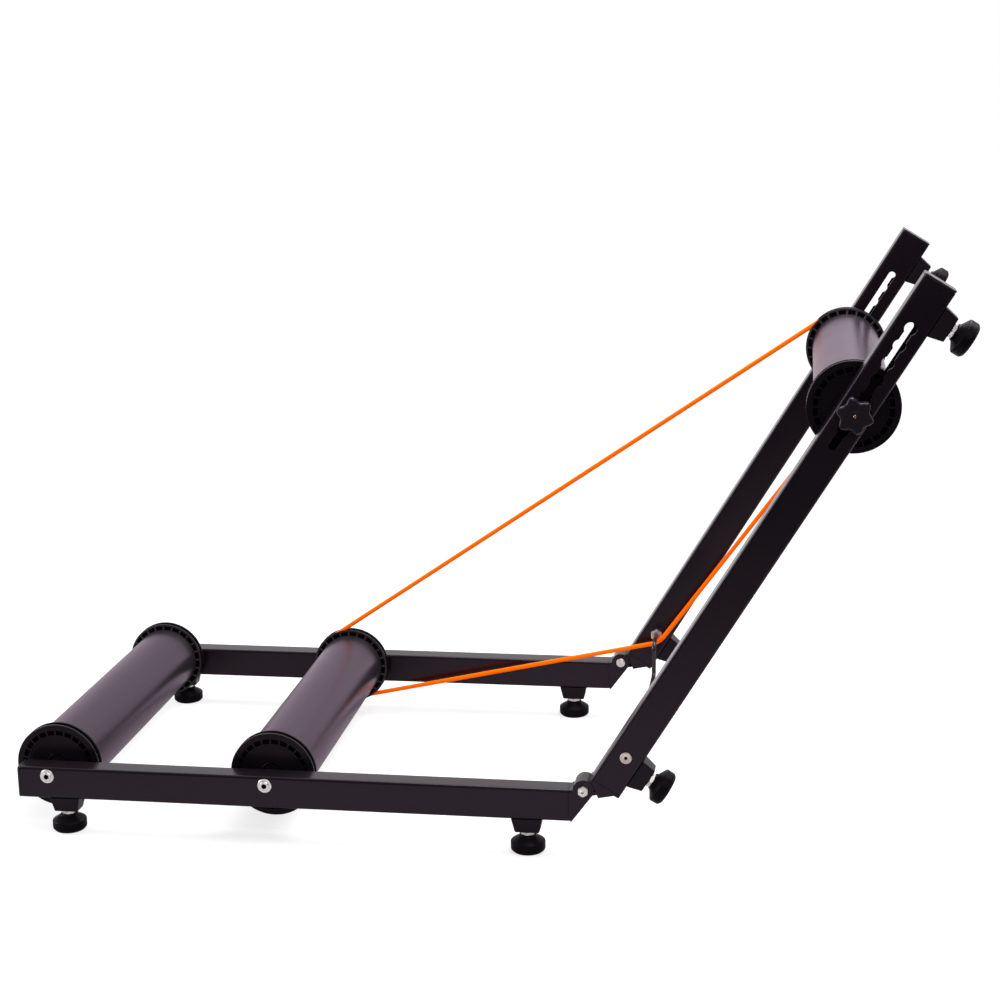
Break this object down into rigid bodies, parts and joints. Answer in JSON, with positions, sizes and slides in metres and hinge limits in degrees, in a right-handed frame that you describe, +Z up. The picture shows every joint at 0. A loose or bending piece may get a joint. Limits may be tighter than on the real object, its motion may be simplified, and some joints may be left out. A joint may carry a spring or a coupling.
{
  "type": "bike rollers",
  "caption": "Folding bike rollers: drums on axles between two hinged rails a side, with levelling feet, a notched front slot, star knobs, a drive belt and a swinging handle.",
  "frame": {"origin": "on the floor under the middle of the object's bounding box, with the front section raised as in the picture", "axes": "+X along the rollers toward the front drum, +Y toward the rider's left, +Z up"},
  "size_m": [1.0432, 0.497, 0.6304],
  "materials": {
    "frame_coat": "satin",
    "handle_coat": "satin",
    "tip_plastic": "matte",
    "black_plastic": "satin",
    "drum_cap": "satin",
    "drum_tube": "satin anodised",
    "bright_steel": "zinc plated",
    "axle_steel": "brushed",
    "bearing_steel": "ground",
    "foot_rubber": "matte",
    "belt": "smooth"
  },
  "bodies": {
    "rear_frame": {"rear_rail_left": "frame_coat", "rear_rail_right": "frame_coat", "rear_tip_cap_left": "tip_plastic", "rear_tip_cap_right": "tip_plastic", "rear_hinge_bracket_left": "frame_coat", "rear_hinge_bracket_right": "frame_coat", "hinge_pin_left": "bright_steel", "hinge_pin_right": "bright_steel", "foot_block_rear_left": "black_plastic", "foot_block_rear_right": "black_plastic", "foot_block_hinge_rear_left": "black_plastic", "foot_block_hinge_rear_right": "black_plastic", "rear_axle": "axle_steel", "middle_axle": "axle_steel", "axle_bolt_rear_left": "bright_steel", "axle_bolt_rear_right": "bright_steel", "axle_bolt_middle_left": "bright_steel", "axle_bolt_middle_right": "bright_steel", "drive_belt": "belt"},
    "front_frame": {"front_rail_left": "frame_coat", "front_rail_right": "frame_coat", "front_tip_cap_left": "tip_plastic", "front_tip_cap_right": "tip_plastic", "front_hinge_bracket_left": "frame_coat", "front_hinge_bracket_right": "frame_coat", "foot_block_hinge_front_left": "black_plastic", "foot_block_hinge_front_right": "black_plastic", "foot_block_front_left": "black_plastic", "foot_block_front_right": "black_plastic", "handle_screw_left": "bright_steel", "handle_screw_right": "bright_steel", "handle_nut_left": "bright_steel", "handle_nut_right": "bright_steel"},
    "rear_drum": {"drum_tube_rear": "drum_tube", "drum_cap_rear_left": "drum_cap", "drum_cap_rear_right": "drum_cap", "bearing_rear_left": "bearing_steel", "bearing_rear_right": "bearing_steel"},
    "middle_drum": {"drum_tube_middle": "drum_tube", "drum_cap_middle_left": "drum_cap", "drum_cap_middle_right": "drum_cap", "bearing_middle_left": "bearing_steel", "bearing_middle_right": "bearing_steel"},
    "front_drum": {"drum_tube_front": "drum_tube", "drum_cap_front_left": "drum_cap", "drum_cap_front_right": "drum_cap", "bearing_front_left": "bearing_steel", "bearing_front_right": "bearing_steel"},
    "front_axle_set": {"front_axle": "axle_steel"},
    "knob_left": {"star_knob_left": "black_plastic"},
    "knob_right": {"star_knob_right": "black_plastic"},
    "handle": {"carry_handle": "handle_coat"},
    "foot_rear_left": {"levelling_foot_rear_left": "foot_rubber"},
    "foot_rear_right": {"levelling_foot_rear_right": "foot_rubber"},
    "foot_hinge_rear_left": {"levelling_foot_hinge_rear_left": "foot_rubber"},
    "foot_hinge_rear_right": {"levelling_foot_hinge_rear_right": "foot_rubber"},
    "foot_hinge_front_left": {"levelling_foot_hinge_front_left": "foot_rubber"},
    "foot_hinge_front_right": {"levelling_foot_hinge_front_right": "foot_rubber"},
    "foot_front_left": {"levelling_foot_front_left": "foot_rubber"},
    "foot_front_right": {"levelling_foot_front_right": "foot_rubber"}
  },
  "joints": [
    {"name": "frame_fold", "type": "hinge", "parent": "rear_frame", "child": "front_frame", "pos_m": [0.12739, 0, 0.0766], "axis": [0, 1, 0], "range_deg": [-121.44, 58.56], "deforming": ["drive_belt"]},
    {"name": "rear_drum_spin", "type": "hinge", "parent": "rear_frame", "child": "rear_drum", "pos_m": [-0.47361, 0, 0.0664], "axis": [0, 1, 0], "continuous": true},
    {"name": "middle_drum_spin", "type": "hinge", "parent": "rear_frame", "child": "middle_drum", "pos_m": [-0.22361, 0, 0.0664], "axis": [0, 1, 0], "continuous": true},
    {"name": "front_axle_slide", "type": "slide", "parent": "front_frame", "child": "front_axle_set", "axis": [0.5216, 0, 0.8532], "range_m": [-0.02, 0.1], "deforming": ["drive_belt"]},
    {"name": "front_drum_spin", "type": "hinge", "parent": "front_axle_set", "child": "front_drum", "pos_m": [0.40166, 0, 0.48957], "axis": [0, 1, 0], "continuous": true},
    {"name": "handle_swing", "type": "hinge", "parent": "front_frame", "child": "handle", "pos_m": [0.17314, 0, 0.11579], "axis": [0, 1, 0], "continuous": true},
    {"name": "knob_turn_left", "type": "hinge", "parent": "front_axle_set", "child": "knob_left", "pos_m": [0.40166, 0.24, 0.48957], "axis": [0, 1, 0], "continuous": true},
    {"name": "knob_turn_right", "type": "hinge", "parent": "front_axle_set", "child": "knob_right", "pos_m": [0.40166, -0.24, 0.48957], "axis": [0, -1, 0], "continuous": true},
    {"name": "foot_turn_rear_left", "type": "hinge", "parent": "rear_frame", "child": "foot_rear_left", "pos_m": [-0.45611, 0.2185, 0.02], "axis": [0, 0, 1], "continuous": true},
    {"name": "foot_turn_hinge_rear_left", "type": "hinge", "parent": "rear_frame", "child": "foot_hinge_rear_left", "pos_m": [0.06539, 0.2185, 0.02], "axis": [0, 0, 1], "continuous": true},
    {"name": "foot_turn_hinge_front_left", "type": "hinge", "parent": "front_frame", "child": "foot_hinge_front_left", "pos_m": [0.20257, 0.2185, 0.08455], "axis": [0.8532, 0, -0.5216], "continuous": true},
    {"name": "foot_turn_front_left", "type": "hinge", "parent": "front_frame", "child": "foot_front_left", "pos_m": [0.49884, 0.2185, 0.56916], "axis": [0.8532, 0, -0.5216], "continuous": true},
    {"name": "foot_turn_rear_right", "type": "hinge", "parent": "rear_frame", "child": "foot_rear_right", "pos_m": [-0.45611, -0.2185, 0.02], "axis": [0, 0, 1], "continuous": true},
    {"name": "foot_turn_hinge_rear_right", "type": "hinge", "parent": "rear_frame", "child": "foot_hinge_rear_right", "pos_m": [0.06539, -0.2185, 0.02], "axis": [0, 0, 1], "continuous": true},
    {"name": "foot_turn_hinge_front_right", "type": "hinge", "parent": "front_frame", "child": "foot_hinge_front_right", "pos_m": [0.20257, -0.2185, 0.08455], "axis": [0.8532, 0, -0.5216], "continuous": true},
    {"name": "foot_turn_front_right", "type": "hinge", "parent": "front_frame", "child": "foot_front_right", "pos_m": [0.49884, -0.2185, 0.56916], "axis": [0.8532, 0, -0.5216], "continuous": true}
  ],
  "couplings": [
    {"joint": "front_drum_spin", "follows": "middle_drum_spin", "ratio": 1}
  ]
}
